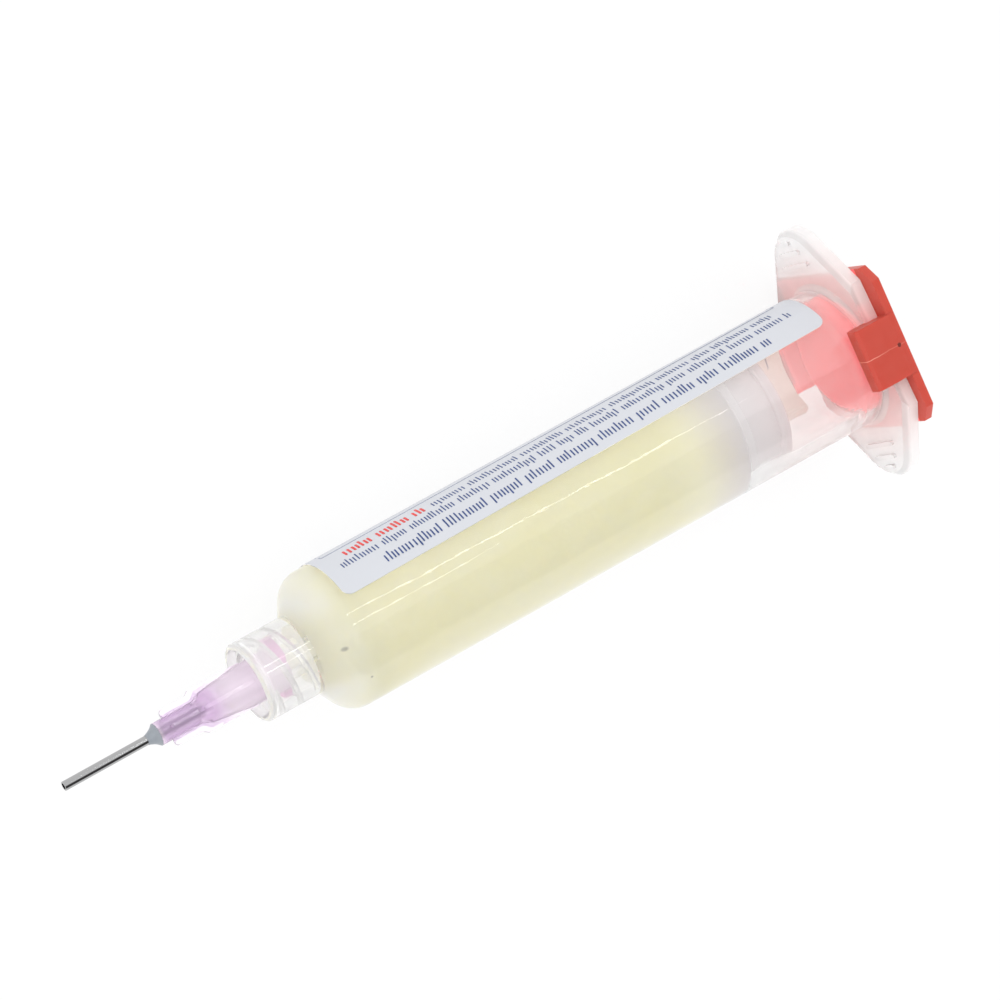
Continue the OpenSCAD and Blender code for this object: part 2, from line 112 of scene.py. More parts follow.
class SyringeStage(bpy.types.PropertyGroup):
    """Camera and lamps."""
    lens: FloatProperty(
        name="Lens", description="Focal length on a 36 mm sensor, in millimetres", default=150.7)
    distance: FloatProperty(
        name="Distance", description="From the camera to the collar's mouth, along the view",
        default=0.4995, unit="LENGTH")
    across: FloatProperty(
        name="Across", description="How far the collar's mouth lies right of the view's centre",
        default=-0.0301, unit="LENGTH")
    down: FloatProperty(
        name="Down", description="How far the collar's mouth lies below the view's centre",
        default=0.02197, unit="LENGTH")
    lean: FloatProperty(
        name="Lean", description="How far the axis turns away from the picture's plane",
        default=math.radians(21.95), subtype="ANGLE")
    roll: FloatProperty(
        name="Roll", description="How far the camera looks round the axis from straight above",
        default=math.radians(11.2), subtype="ANGLE")
    slope: FloatProperty(
        name="Slope", description="Slope of the axis in the picture",
        default=math.radians(28.86), subtype="ANGLE")
    lamp_distance: FloatProperty(
        name="Lamp distance", description="From the barrel to the strip lamps", default=1.2,
        unit="LENGTH")
    lamp_width: FloatProperty(
        name="Lamp width", description="Width of a strip lamp", default=0.03, unit="LENGTH")
    lamp_radiance: FloatProperty(
        name="Lamp radiance", description="Brightness of a strip lamp, white paper being 1",
        default=8.0)
    highlight_start: FloatProperty(
        name="Highlight start", description="Where both highlights would start along the axis",
        default=-0.016, unit="LENGTH")
    highlight_ends: FloatVectorProperty(
        name="Highlight ends", description="Where each highlight on the barrel ends along the axis",
        default=(0.0286, 0.0662), size=2, unit="LENGTH")
    turns_at_start: FloatVectorProperty(
        name="Turns at start", description="How far round the barrel each highlight lies in front",
        default=(math.radians(0.7), math.radians(10.6)), size=2, unit="ROTATION")
    turns_at_end: FloatVectorProperty(
        name="Turns at end", description="How far round the barrel each highlight lies at its end",
        default=(math.radians(0.5), math.radians(4.9)), size=2, unit="ROTATION")
    card: FloatProperty(
        name="Dark card", description="How much darker than the studio its dark band is",
        default=0.93, subtype="FACTOR")
    card_height: FloatProperty(
        name="Card height", description="Height of the dark band, as the sine of its elevation",
        default=0.94)
    floor_size: FloatProperty(
        name="Floor size", description="Radius of the floor", default=20.0, unit="LENGTH")
    shadow: FloatProperty(
        name="Shadow", description="Share of the floor's own shading that the camera sees",
        default=0.12, subtype="FACTOR")


class SyringeSizes(bpy.types.PropertyGroup):
    """Sizes of the fine forms."""
    flux_round: FloatProperty(
        name="Flux round", description="Radius of the round on the flux's front corner",
        default=0.0025, unit="LENGTH")
    thread_crest: FloatProperty(
        name="Thread crest", description="Radius at the crest of the collar's thread",
        default=0.00368, unit="LENGTH")
    thread_crest_width: FloatProperty(
        name="Crest width", description="Width of a thread ridge at its crest",
        default=0.00035, unit="LENGTH")
    thread_base_width: FloatProperty(
        name="Base width", description="Width of a thread ridge at its base",
        default=0.0008, unit="LENGTH")
    thread_start: FloatProperty(
        name="Thread start", description="Where the thread starts inside the collar's mouth",
        default=0.0012, unit="LENGTH")
    thread_end: FloatProperty(
        name="Thread end", description="Where the thread ends, from the collar's mouth",
        default=0.0069, unit="LENGTH")
    ink: FloatProperty(
        name="Ink", description="Thickness of the print", default=0.000012, unit="LENGTH")
    stroke_width: FloatProperty(
        name="Stroke width", description="Width of an upright stroke of the print",
        default=0.00017, unit="LENGTH")
    stroke_pitch: FloatProperty(
        name="Stroke pitch", description="Distance between two strokes of the print",
        default=0.00046, unit="LENGTH")
    stroke_height: FloatProperty(
        name="Stroke height", description="Height of a plain stroke", default=0.00095,
        unit="LENGTH")
    rule_width: FloatProperty(
        name="Rule width", description="Width of the printed frame's rule", default=0.00014,
        unit="LENGTH")
    print_seed: IntProperty(
        name="Print seed", description="Seed of the print's stroke heights and gaps", default=7)
    parting_width: FloatProperty(
        name="Parting width", description="Width of the moulding line on the cap's clips",
        default=0.00009, unit="LENGTH")
    plate_depth: FloatProperty(
        name="Plate depth", description="From the cap's back to the front of its plate",
        default=0.0011, unit="LENGTH")
    plug_reach: FloatProperty(
        name="Plug reach", description="A radius between the plug and the clips", default=0.009,
        unit="LENGTH")
    recess_depth: FloatProperty(
        name="Recess depth", description="From the front of the cap's plate into the hollow plug",
        default=0.003, unit="LENGTH")
    recess_reach: FloatProperty(
        name="Recess reach", description="A radius within the plug's wall", default=0.0065,
        unit="LENGTH")
    cap_edge: FloatProperty(
        name="Cap edge", description="Radius that rounds the cap's edges", default=0.00025,
        unit="LENGTH")
    gate_x: FloatProperty(
        name="Gate place", description="Where the gate mark on the upper clip lies along the axis",
        default=0.0922, unit="LENGTH")
    gate_radius: FloatProperty(
        name="Gate radius", description="Radius of the gate mark on a clip", default=0.00028,
        unit="LENGTH")
    socket_radius: FloatProperty(
        name="Socket radius", description="Radius of the hub's front, round the glued tube",
        default=0.00175, unit="LENGTH")
    lug_root: FloatProperty(
        name="Lug root", description="A radius between the hub's body and its lugs' ends",
        default=0.003, unit="LENGTH")
    flux_front: FloatProperty(
        name="Flux front", description="Length of the flux's front cone and its round",
        default=0.008, unit="LENGTH")
    flux_rear: FloatProperty(
        name="Flux rear", description="Where the flux starts to thin out, as a share of its length",
        default=0.852, min=0.0, max=0.99)
    flux_wet: FloatProperty(
        name="Flux wetting", description="How far the flux, wetting the wall, lies past its node",
        default=0.00006, unit="LENGTH")
    thread_sunk: FloatProperty(
        name="Thread sunk", description="How far a thread ridge reaches into the collar's wall",
        default=0.00002, unit="LENGTH")


def colour(name, description, *value):
    """A colour property, written as linear red, green and blue."""
    return FloatVectorProperty(
        name=name, description=description, default=value, subtype="COLOR", min=0, max=1)


class SyringeColours(bpy.types.PropertyGroup):
    """Colours of the materials."""
    barrel: colour("Barrel", "Near clear polypropylene", 1.0, 0.995, 0.995)
    collar: colour(
        "Collar", "The collar's clear plastic, which greys what shines through",
        0.95, 0.945, 0.935)
    # Painted light: the pink that the cap's light gives the milky plastic near it
    painted_cap_light: colour(
        "Barrel glow", "The plastic near the cap, whose light it catches", 1.0, 0.84, 0.82)
    flux: colour("Flux", "Pale yellow paste", 0.87, 0.84, 0.59)
    flux_depth: colour("Flux depth", "Cloudy darker places in the paste", 0.87, 0.835, 0.545)
    shoulder: colour("Shoulder", "The flux, seen through the thick shoulder", 0.97, 0.965, 0.94)
    # Painted light: the warm glow on the label's glued face
    paper_inner_painted_light: colour("Inner paper", "The light on the label's glued face", 1.0, 0.9, 0.72)
    speck: colour("Speck", "Dark specks in the paste", 0.10, 0.09, 0.04)
    piston: colour("Piston", "Milky polyethylene", 0.595, 0.55, 0.565)
    piston_front: colour(
        "Piston front", "The piston's cone seen through thin flux", 0.68, 0.625, 0.61)
    cap: colour("Cap", "Orange-red polypropylene", 0.53, 0.058, 0.034)
    # Painted light: brighter than the cap and given as a glow as well, on the plug and the clips'
    # inner faces
    plug: colour("Plug", "The cap's plug, whose thin wall lets light through", 0.93, 0.14, 0.15)
    # The gate scar is real; its dark spot is painted shade of the scar's small dimple
    gate: colour("Gate", "Scar where the cap was moulded", 0.16, 0.02, 0.012)
    parting: colour("Parting line", "Line where the mould's halves met", 0.80, 0.33, 0.25)
    paper: colour("Paper", "Coated white label paper", 0.585, 0.60, 0.64)
    blue_ink: colour("Blue ink", "Print", 0.018, 0.045, 0.16)
    red_ink: colour("Red ink", "Heading", 0.55, 0.035, 0.03)
    hub: colour("Hub", "Clear pink polypropylene", 0.965, 0.885, 0.96)
    fin: colour("Fin", "The hub's thin fins", 0.975, 0.955, 0.975)
    socket: colour("Socket", "The hub's front, darkened by the glued tube in it", 0.74, 0.60, 0.78)
    lug: colour("Lug", "The hub's locking lugs, seen edge on", 0.97, 0.5, 0.82)
    hub_depth: colour("Hub depth", "Colour that a deep layer of the hub turns to", 0.90, 0.50, 0.90)
    steel: colour("Steel", "Drawn stainless steel", 0.45, 0.45, 0.455)
    adhesive: colour("Adhesive", "Cured grey-blue adhesive", 0.34, 0.37, 0.41)


# Points and meshes

def laid(points):
    """Points of the syringe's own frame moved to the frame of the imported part:
    the collar's mouth plus x, y and z times the own frame's three axes."""
    return np.asarray(points, float) @ AXES + MOUTH


def own_points(node):
    """A node's points as distance along the axis, radius and angle from the top towards +y."""
    mesh = NODES[node].data
    points = np.empty(len(mesh.vertices) * 3)
    mesh.vertices.foreach_get("co", points)
    x, y, z = ((points.reshape(-1, 3) - MOUTH) @ AXES.T).T
    return x, np.hypot(y, z), np.arctan2(y, z)


def around(x, radius, angle):
    """Points at x, at a radius, at an angle from the top towards +y, as whole arrays."""
    x, radius, angle = np.broadcast_arrays(x, radius, angle)
    return np.stack([x, radius * np.sin(angle), radius * np.cos(angle)], -1)


def sleeve_faces(rings, points_each):
    """Quads between neighbouring rings of points that are numbered ring by ring."""
    ring, here = np.divmod(np.arange((rings - 1) * points_each), points_each)
    after = (here + 1) % points_each
    start, end = ring * points_each, (ring + 1) * points_each
    return np.stack([start + here, end + here, end + after, start + after], -1)


def bar_faces(rings, count):
    """Sides and ends of count bars, each of so many rings of four points."""
    size = rings * 4
    ends = np.array([[0, 1, 2, 3], [size - 1, size - 2, size - 3, size - 4]])
    faces = np.concatenate([sleeve_faces(rings, 4), ends])
    return (faces + np.arange(count)[:, None, None] * size).reshape(-1, 4)


def signed_volume(points, faces):
    """Sum over the faces' triangles of a . (b x c) / 6, which is negative inside out."""
    total = 0.0
    for k in range(1, faces.shape[1] - 1):
        a, b, c = points[faces[:, 0]], points[faces[:, k]], points[faces[:, k + 1]]
        total += np.einsum("ij,ij->i", a, np.cross(b, c)).sum() / 6
    return total


def make_piece(name, points, faces, material, smooth=True):
    """A closed piece from own-frame points and arrays of faces, turned to face outwards."""
    middle = points.mean(0)
    if sum(signed_volume(points - middle, part) for part in faces) < 0:
        faces = [part[:, ::-1] for part in faces]
    mesh = bpy.data.meshes.new(name)
    mesh.from_pydata(laid(points), [], [face for part in faces for face in part.tolist()])
    mesh.polygons.foreach_set("use_smooth", np.full(len(mesh.polygons), smooth))
    mesh.materials.append(material)
    mesh.update()
    piece = bpy.data.objects.new(name, mesh)
    bpy.context.scene.collection.objects.link(piece)
    return piece


def soften(piece, angle=math.radians(35)):
    """Keep edges sharper than angle sharp under smooth shading."""
    piece.data.set_sharp_from_angle(angle=angle)


def turned_shell(profile, segments):
    """A profile of (x, radius) rows turned about the axis. Its first and last rows lie on the
    axis, and each becomes one pole."""
    angle = np.linspace(0, 2 * np.pi, segments, endpoint=False)
    rings = around(profile[1:-1, 0, None], profile[1:-1, 1, None], angle[None])
    points = np.concatenate([
        rings.reshape(-1, 3), around(profile[[0, -1], 0], 0.0, 0.0)])
    count = len(profile) - 2
    first, last = count * segments, count * segments + 1
    here = np.arange(segments)
    after = (here + 1) % segments
    start = np.stack([np.full(segments, first), here, after], -1)
    end_row = (count - 1) * segments
    end = np.stack([np.full(segments, last), end_row + after, end_row + here], -1)
    return points, [sleeve_faces(count, segments), start, end]


def arc(centre, radius, start, end, steps):
    """Points (x, radius) on an arc round a centre, from one angle to another."""
    angle = np.linspace(start, end, steps)
    return np.stack([centre[0] + radius * np.cos(angle), centre[1] + radius * np.sin(angle)], -1)


# Shaders

class Field:
    """A socket of a shader, on which Python's operators add Math nodes."""

    def __init__(self, finish, socket):
        self.finish = finish
        self.socket = socket

    def math(self, operation, *others):
        return self.finish.add("ShaderNodeMath", {"operation": operation}, [self, *others])

    def __add__(self, other):
        return self.math("ADD", other)

    def __sub__(self, other):
        return self.math("SUBTRACT", other)

    def __mul__(self, other):
        return self.math("MULTIPLY", other)

    def __lt__(self, other):
        return self.math("LESS_THAN", other)

    def __gt__(self, other):
        return self.math("GREATER_THAN", other)

    def __rsub__(self, other):
        return self.finish.add("ShaderNodeMath", {"operation": "SUBTRACT"}, [other, self])

    __radd__ = __add__
    __rmul__ = __mul__


class Finish:
    """A shader tree that nodes are added to with one method."""

    def __init__(self, tree):
        self.tree = tree
        tree.nodes.clear()

    def add(self, kind, settings=None, values=None, output=0):
        """A node of a kind, with its settings made first, then its sockets' values or links, given
        by name or in order."""
        node = self.tree.nodes.new(kind)
        for name, value in (settings or {}).items():
            setattr(node, name, value)
        values = values or {}
        pairs = values.items() if isinstance(values, dict) else enumerate(values)
        for key, value in pairs:
            if isinstance(value, Field):
                self.tree.links.new(value.socket, node.inputs[key])
            else:
                node.inputs[key].default_value = value
        return Field(self, node.outputs[output]) if node.outputs else node

    @staticmethod
    def opaque(tint):
        """A colour with its alpha, or a field as it is."""
        return tint if isinstance(tint, Field) else (*tint, 1)

    def part(self, field, name):
        """Another output of the node that a field comes from."""
        return Field(self, field.socket.node.outputs[name])

    def own(self):
        """Object coordinates turned into the syringe's own frame, in millimetres."""
        place = self.part(self.add("ShaderNodeTexCoord"), "Object")
        return self.add("ShaderNodeMapping", {"vector_type": "TEXTURE"}, {
            "Vector": place, "Location": MOUTH, "Rotation": (0, -LIE_ANGLE, 0),
            "Scale": (MM, MM, MM)})

    def own_normal(self):
        """The normal in the syringe's own frame."""
        normal = self.part(self.add("ShaderNodeTexCoord"), "Normal")
        return self.add("ShaderNodeMapping", {"vector_type": "TEXTURE"}, {
            "Vector": normal, "Rotation": (0, -LIE_ANGLE, 0)})

    def outward(self, own):
        """How far a face points away from the axis, from -1 to 1."""
        away = self.add("ShaderNodeVectorMath", {"operation": "NORMALIZE"}, [
            self.stretch(own, (0, 1, 1))])
        return self.add("ShaderNodeVectorMath", {"operation": "DOT_PRODUCT"}, [
            self.own_normal(), away], output="Value")

    def split(self, vector):
        """The three parts of a vector."""
        parts = self.add("ShaderNodeSeparateXYZ", None, {"Vector": vector})
        return [self.part(parts, name) for name in "XYZ"]

    def noise(self, vector, scale, detail=2.0, roughness=0.5):
        return self.add("ShaderNodeTexNoise", {"noise_dimensions": "3D"}, {
            "Vector": vector, "Scale": scale, "Detail": detail, "Roughness": roughness})

    def stretch(self, vector, scale):
        return self.add("ShaderNodeVectorMath", {"operation": "MULTIPLY"}, [vector, scale])

    def span(self, field, low, high, to_low=0.0, to_high=1.0):
        """A field's stretch from low to high spread smoothly over another."""
        return self.add("ShaderNodeMapRange", {"interpolation_type": "SMOOTHSTEP"}, {
            "Value": field, "From Min": low, "From Max": high, "To Min": to_low, "To Max": to_high})

    def mix(self, share, first, second):
        """Two colours mixed by a share."""
        node = self.tree.nodes.new("ShaderNodeMix")
        node.data_type = "RGBA"
        sockets = [s for s in node.inputs if s.enabled]
        for socket, value in zip(sockets, [share, self.opaque(first), self.opaque(second)]):
            if isinstance(value, Field):
                self.tree.links.new(value.socket, socket)
            else:
                socket.default_value = value
        return Field(self, [s for s in node.outputs if s.enabled][0])

    def bump(self, height, distance, base=None):
        """A normal from a height that is 1 at distance millimetres, on top of another normal."""
        values = {"Height": height, "Distance": distance * MM, "Strength": 1.0}
        return self.add("ShaderNodeBump", None, values | ({"Normal": base} if base else {}))

    def rounded(self, radius):
        """A normal that rounds sharp edges."""
        return self.add("ShaderNodeBevel", {"samples": 4}, {"Radius": radius})

    def principled(self, **values):
        """A Principled shader, with its sockets' names written with _ for a space."""
        return self.add("ShaderNodeBsdfPrincipled", None, {
            name.replace("_", " "): self.opaque(value) if name.endswith("Color") else value
            for name, value in values.items()})

    def surface(self, shader, volume=None):
        values = {"Surface": shader}
        if volume is not None:
            values["Volume"] = volume
        self.add("ShaderNodeOutputMaterial", None, values)

    def lets_lamps_through(self, shader, share=0.97):
        """Clear plastic, which a lamp's light passes to what lies behind it."""
        shadow = self.part(self.add("ShaderNodeLightPath"), "Is Shadow Ray")
        clear = self.add("ShaderNodeBsdfTransparent", None, {"Color": (1, 1, 1, 1)})
        return self.add("ShaderNodeMixShader", None, [shadow * share, shader, clear])


def new_finish(name):
    material = bpy.data.materials.new(name)
    material.use_nodes = True
    return material, Finish(material.node_tree)


def dress(node, material):
    """Give a kept node its material."""
    mesh = NODES[node].data
    mesh.materials.clear()
    mesh.materials.append(material)
    mesh.polygons.foreach_set("material_index", np.zeros(len(mesh.polygons), int))


def barrel_material(colours):
    """Clear plastic mixed with a milky share, which is larger at the collar's rim, shoulder, sides,
    flange and over the piston. Near the plug its milky share is pink: painted light, standing in
    for the cap's light caught in the plastic."""
    material, f = new_finish("barrel_clear")
    own = f.own()
    x, y, z = f.split(own)
    ripple = f.noise(f.stretch(own, (0.25, 1.0, 1.0)), 0.55, 3.0)
    haze = f.noise(own, 0.3, 2.0)
    back = own_points("barrel")[0].max() / MM

    # Stretches over which the finish fades, in millimetres along the axis
    rim_end, collar_end, shoulder_start = (0.4, 1.4), (5.5, 7), (6.8, 8.2)
    shoulder_end, front_end, body_start = (9, 14), (7, 14), (14, 20)
    piston_start, piston_end = (56, 64), (73, 78)
    painted_glow_start = (back - 24, back - 11)
    flange_front, flange_middle = (back - 3.2, back - 2.2), (back - 1.7, back - 1.2)

    # Others beside the axis and away from it
    shoulder_sides, body_sides, painted_glow_reach = (3.0, 6.5), (4.0, 9.2), (10.5, 16)

    relief = f.bump(ripple, 0.035)
    plastic = f.principled(
        Base_Color=f.mix(f.span(x, *collar_end), colours.collar, (1, 1, 1)),
        Roughness=f.span(haze, 0.35, 0.65, 0.02, 0.045), IOR=1.49, Transmission_Weight=1.0,
        Normal=relief)
    radius = (y * y + z * z).math("SQRT")
    # The glow mask paints the cap's light into the milky plastic near the plug: painted reflected
    # light
    glow = f.span(x, *painted_glow_start) * f.span(radius, *painted_glow_reach, 1.0, 0.0)
    milk = f.principled(
        Base_Color=f.mix(glow, colours.barrel, colours.painted_cap_light), Roughness=0.5,
        Specular_IOR_Level=0.0, Normal=relief)
    beside = y.math("ABSOLUTE")
    shoulder = f.span(x, *shoulder_start) * f.span(x, *shoulder_end, 1.0, 0.0)
    shoulder = shoulder * f.span(beside, *shoulder_sides, 0.02, 0.12)
    piston = f.span(x, *piston_start) * f.span(x, *piston_end, 1.0, 0.0) * 0.08
    side = f.span(beside, *body_sides, 0.0, 0.1) * f.span(x, *body_start)
    body = 0.12 + 0.08 * f.span(x, *front_end, 1.0, 0.0) + shoulder + piston + side
    body = (body + f.span(haze, 0.35, 0.65, -0.01, 0.01)).math("MINIMUM", MOST_MILK)
    rim = f.span(x, *rim_end, 0.2, 0.0)
    flange = f.span(x, *flange_front, 0.0, 0.2) + f.span(x, *flange_middle, 0.0, 0.2)
    share = body + rim + flange
    shader = f.add("ShaderNodeMixShader", None, [share, plastic, milk])
    f.surface(f.lets_lamps_through(shader))
    return material


def flux_material(colours, sizes):
    """Paste with two specks in it. It is paler behind the thick shoulder. Near its rear its layer
    over the piston's cone thins out, which the attribute named rear gives. It glows in its own tint,
    weaker near the front: painted light, standing in for the light that the paste passes from below."""
    material, f = new_finish("flux_paste")
    own = f.own()
    x, y, z = f.split(own)
    cloud = f.noise(f.stretch(own, (0.4, 1.0, 1.0)), 0.22, 3.0)

    # Stretches over which the finish fades, in millimetres along the axis and beside it
    corner_end, front_end, painted_glow_start = (10, 12.2), (10, 19), (9, 17)
    corner_sides = (3.0, 5.5)

    tint = f.mix(f.span(cloud, 0.3, 0.7), colours.flux, colours.flux_depth)
    rear = f.add("ShaderNodeAttribute", {"attribute_name": "rear"}, output="Fac")
    tint = f.mix(f.span(rear, sizes.flux_rear, 1.0), tint, colours.piston_front)
    beside = y.math("ABSOLUTE")
    corner = f.span(x, *corner_end, 1.0, 0.0) * f.span(beside, *corner_sides, 0.0, 0.55)
    tint = f.mix(corner + f.span(x, *front_end, 0.1, 0.0), tint, colours.shoulder)
    for place_x, place_y, radius in SPECKS:
        over, aside = x - place_x, y - place_y
        spot = (over * over + aside * aside).math("SQRT")
        mark = f.span(spot, radius * 0.4, radius * 1.4, 0.6, 0.0) * (z > 0)
        tint = f.mix(mark, tint, colours.speck)
    # The emission is painted light: a faint glow in the paste's tint that lifts its shading
    paste = f.principled(
        Base_Color=tint, Roughness=0.45, IOR=1.3, Specular_IOR_Level=0.25, Subsurface_Weight=1.0,
        Subsurface_Radius=(1.0, 0.95, 0.7), Subsurface_Scale=0.005,
        Emission_Color=f.mix(f.span(x, *painted_glow_start, 0.3, 1.0), (0, 0, 0), tint),
        Emission_Strength=0.19, Normal=f.bump(f.noise(own, 0.8, 2.0), 0.05))
    f.surface(f.lets_lamps_through(paste, 0.3))
    return material


def piston_material(colours):
    material, f = new_finish("piston_plastic")
    own = f.own()
    # Painted light: the emission in the piston's own colour lifts its shade
    plastic = f.principled(
        Base_Color=colours.piston, Roughness=f.span(f.noise(own, 1.5, 3.0), 0.3, 0.7, 0.3, 0.45),
        IOR=1.3, Subsurface_Weight=1.0, Subsurface_Radius=(1.0, 0.95, 0.97),
        Subsurface_Scale=0.004, Emission_Color=colours.piston, Emission_Strength=0.15,
        Normal=f.bump(f.noise(own, 4.0, 2.0), 0.01))
    f.surface(f.lets_lamps_through(plastic, 0.5))
    return material


def cap_material(colours, sizes):
    """The plastic, with a line down the middle of each clip, where the mould's halves met, and a
    dark spot at the gate, which is painted shade of the gate's small dimple. The plug and the clips'
    inner faces get a brighter red and glow with it: painted light in place of their shade, standing
    in for the light that is scattered in the barrel."""
    material, f = new_finish("cap_plastic")
    own = f.own()
    x, y, z = f.split(own)
    mottle = f.noise(own, 0.8, 4.0, 0.6)
    grain = f.noise(own, 9.0, 3.0)
    clip_x, clip_r, clip_angle = own_points("end_cap")
    clip_top = (clip_r * np.cos(clip_angle)).max() / MM
    wander = f.noise(f.stretch(own, (0.6, 0.0, 0.0)), 1.0, 2.0) * 0.3 - 0.15
    hooks = clip_x.min() / MM
    faint = f.span(x, hooks + 1.0, hooks + 3.0, 0.8, 0.3)
    outside = z.math("ABSOLUTE") > sizes.plug_reach / MM
    line = ((y + wander).math("ABSOLUTE") < sizes.parting_width / 2 / MM) * faint * outside
    # The gate's dark spot is painted shade of its small dimple
    spot = f.add("ShaderNodeVectorMath", {"operation": "DISTANCE"}, [
        own, (sizes.gate_x / MM, 0.0, clip_top)], output="Value")
    spot = spot + f.noise(own, 4.0) * 0.2 - 0.1
    tint = f.mix(mottle, [0.93 * c for c in colours.cap], colours.cap)
    plate = clip_x.max() / MM - sizes.plate_depth / MM
    radius = (y * y + z * z).math("SQRT")
    hollow = (x > plate - sizes.recess_depth / MM) * (radius < sizes.recess_reach / MM)
    # Painted light: the plug and the clips' inner faces take the plug's brighter red and glow with
    # it
    plug = (x < plate) * (outside * (f.outward(own) < -0.5) + (1 - outside) * (1 - hollow))
    tint = f.mix(plug, tint, colours.plug)
    tint = f.mix(line, tint, colours.parting)
    tint = f.mix(spot < sizes.gate_radius / MM, tint, colours.gate)
    plastic = f.principled(
        Base_Color=tint, Roughness=f.span(mottle, 0.3, 0.7, 0.34, 0.5), Subsurface_Weight=0.35,
        Subsurface_Radius=(1.0, 0.3, 0.25), Subsurface_Scale=0.002,
        Emission_Color=f.mix(plug, (0, 0, 0), colours.plug), Emission_Strength=0.35,
        Normal=f.bump(grain, 0.012, base=f.rounded(sizes.cap_edge)))
    f.surface(plastic)
    return material


def paper_material(colours):
    """The paper. Its glued face glows warmly: painted light, standing in for the light that is
    scattered in the barrel.
    """
    material, f = new_finish("label_paper")
    own = f.own()
    fibre = f.noise(own, 14.0, 4.0, 0.6)
    sheet = f.noise(own, 0.12, 2.0)
    # The face that points towards the axis glows: painted light
    inner = f.outward(own) < 0
    paper = f.principled(
        Base_Color=f.mix(sheet, [0.97 * c for c in colours.paper], colours.paper),
        Emission_Color=f.mix(inner, (0, 0, 0), colours.paper_inner_painted_light), Emission_Strength=0.4,
        Roughness=f.span(fibre, 0.3, 0.7, 0.45, 0.6), Coat_Weight=0.15, Coat_Roughness=0.35,
        Normal=f.bump(fibre, 0.004))
    f.surface(paper)
    return material


def ink_material(name, tint):
    material, f = new_finish(name)
    own = f.own()
    thin = f.noise(own, 6.0, 3.0)
    lighter = [min(1.0, 1.6 * c + 0.02) for c in tint]
    f.surface(f.principled(
        Base_Color=f.mix(f.span(thin, 0.35, 0.75), tint, lighter), Roughness=0.42))
    return material


def hub_material(colours, sizes):
    """Clear pink plastic, which is darker where the glued tube sits in its front. The thin fins,
    which stand out from the front body, and the lugs have colours of their own."""
    material, f = new_finish("hub_clear")
    own = f.own()
    x, y, z = f.split(own)
    radius = (y * y + z * z).math("SQRT")

    # Stretches over which the finish fades, in millimetres along the axis, and a place on it
    socket_start, socket_end, body_step = (-12.8, -12.3), (-7.5, -2.8), (-7.5, -6.3)
    fins_end = -5

    body_radius = sizes.socket_radius / MM + f.span(x, *body_step, 0.0, 0.75)
    socket = f.span(x, *socket_start) * f.span(x, *socket_end, 1.0, 0.0)
    tint = f.mix(socket, colours.hub, colours.socket)
    endwise = f.split(f.own_normal())[0].math("ABSOLUTE")
    fin = (x < fins_end) * (radius > body_radius) * (f.outward(own) < 0.5) * (endwise < 0.5)
    tint = f.mix(fin, tint, colours.fin)
    tint = f.mix((radius > sizes.lug_root / MM) * (x > 0), tint, colours.lug)
    plastic = f.principled(
        Base_Color=tint, Roughness=f.span(f.noise(own, 1.2), 0.3, 0.7, 0.03, 0.05), IOR=1.47,
        Specular_IOR_Level=0.2, Transmission_Weight=0.7,
        Normal=f.bump(f.noise(own, 1.6, 2.0), 0.01))
    depth = f.add("ShaderNodeVolumeAbsorption", None, {
        "Color": (*colours.hub_depth, 1), "Density": 80.0})
    f.surface(f.lets_lamps_through(plastic), depth)
    return material


def steel_material(colours):
    material, f = new_finish("needle_steel")
    own = f.own()
    drawn = f.noise(f.stretch(own, (0.03, 2.5, 2.5)), 1.6, 3.0, 0.6)
    steel = f.principled(
        Base_Color=colours.steel, Metallic=1.0,
        Roughness=f.span(drawn, 0.3, 0.7, 0.05, 0.12), Normal=f.bump(drawn, 0.004))
    f.surface(steel)
    return material


def adhesive_material(colours):
    material, f = new_finish("adhesive")
    own = f.own()
    cloud = f.noise(own, 1.5, 3.0)
    f.surface(f.principled(
        Base_Color=f.mix(cloud, [0.8 * c for c in colours.adhesive], colours.adhesive),
        Roughness=0.3, Transmission_Weight=0.15, Normal=f.bump(cloud, 0.02)))
    return material


# Stage

def camera_rows(stage):
    """Right, down and into the picture as rows in the own frame. With the axis level in the
    picture, it leans away by lean, and the camera looks from roll round the axis. The picture is
    then turned by slope."""
    lean, roll, slope = stage.lean, stage.roll, stage.slope
    along = np.array([math.cos(lean), 0, -math.sin(lean)])
    above = np.array([math.sin(lean), 0, math.cos(lean)])
    across = np.array([0.0, 1.0, 0.0])
    up = math.cos(roll) * above + math.sin(roll) * across
    side = math.cos(roll) * across - math.sin(roll) * above
    level = np.stack([along, -side, up], 1)
    turn = np.array([
        [math.cos(slope), math.sin(slope), 0], [-math.sin(slope), math.cos(slope), 0], [0, 0, -1]])
    return turn @ level


def make_camera(stage):
    rows = camera_rows(stage)
    place = -rows.T @ np.array([stage.across, stage.down, stage.distance])
    data = bpy.data.cameras.new("camera")
    data.lens = stage.lens
    data.sensor_width = 36
    data.clip_start, data.clip_end = 0.01, 100
    camera = bpy.data.objects.new("camera", data)
    axes = np.stack([rows[0], -rows[1], -rows[2]]) @ AXES
    matrix = np.eye(4)
    matrix[:3, :3] = axes.T
    matrix[:3, 3] = laid(place)
    camera.matrix_world = Matrix(matrix)
    bpy.context.scene.collection.objects.link(camera)
    bpy.context.scene.camera = camera
    return rows, place


def mirrored_place(stage, rows, place, x, turn):
    """A point at x on the barrel's wall, at turn round the axis from the camera's side, and the
    place of the lamp that it mirrors to the camera: the light's way is the view mirrored in the
    normal there."""
    barrel_x, barrel_r, _ = own_points("barrel")
    flat = np.array([0, place[1], place[2]])
    facing = flat / np.linalg.norm(flat)
    upward = np.cross([1, 0, 0], facing)
    upward *= np.sign(-rows[1] @ upward)
    normal = math.cos(turn) * facing + math.sin(turn) * upward
    wall = barrel_r[np.abs(barrel_x - barrel_x.max() / 2) < barrel_x.max() / 3].max()
    point = np.array([x, 0, 0]) + wall * normal
    view = (place - point) / np.linalg.norm(place - point)
    return point, point + (2 * (view @ normal) * normal - view) * stage.lamp_distance


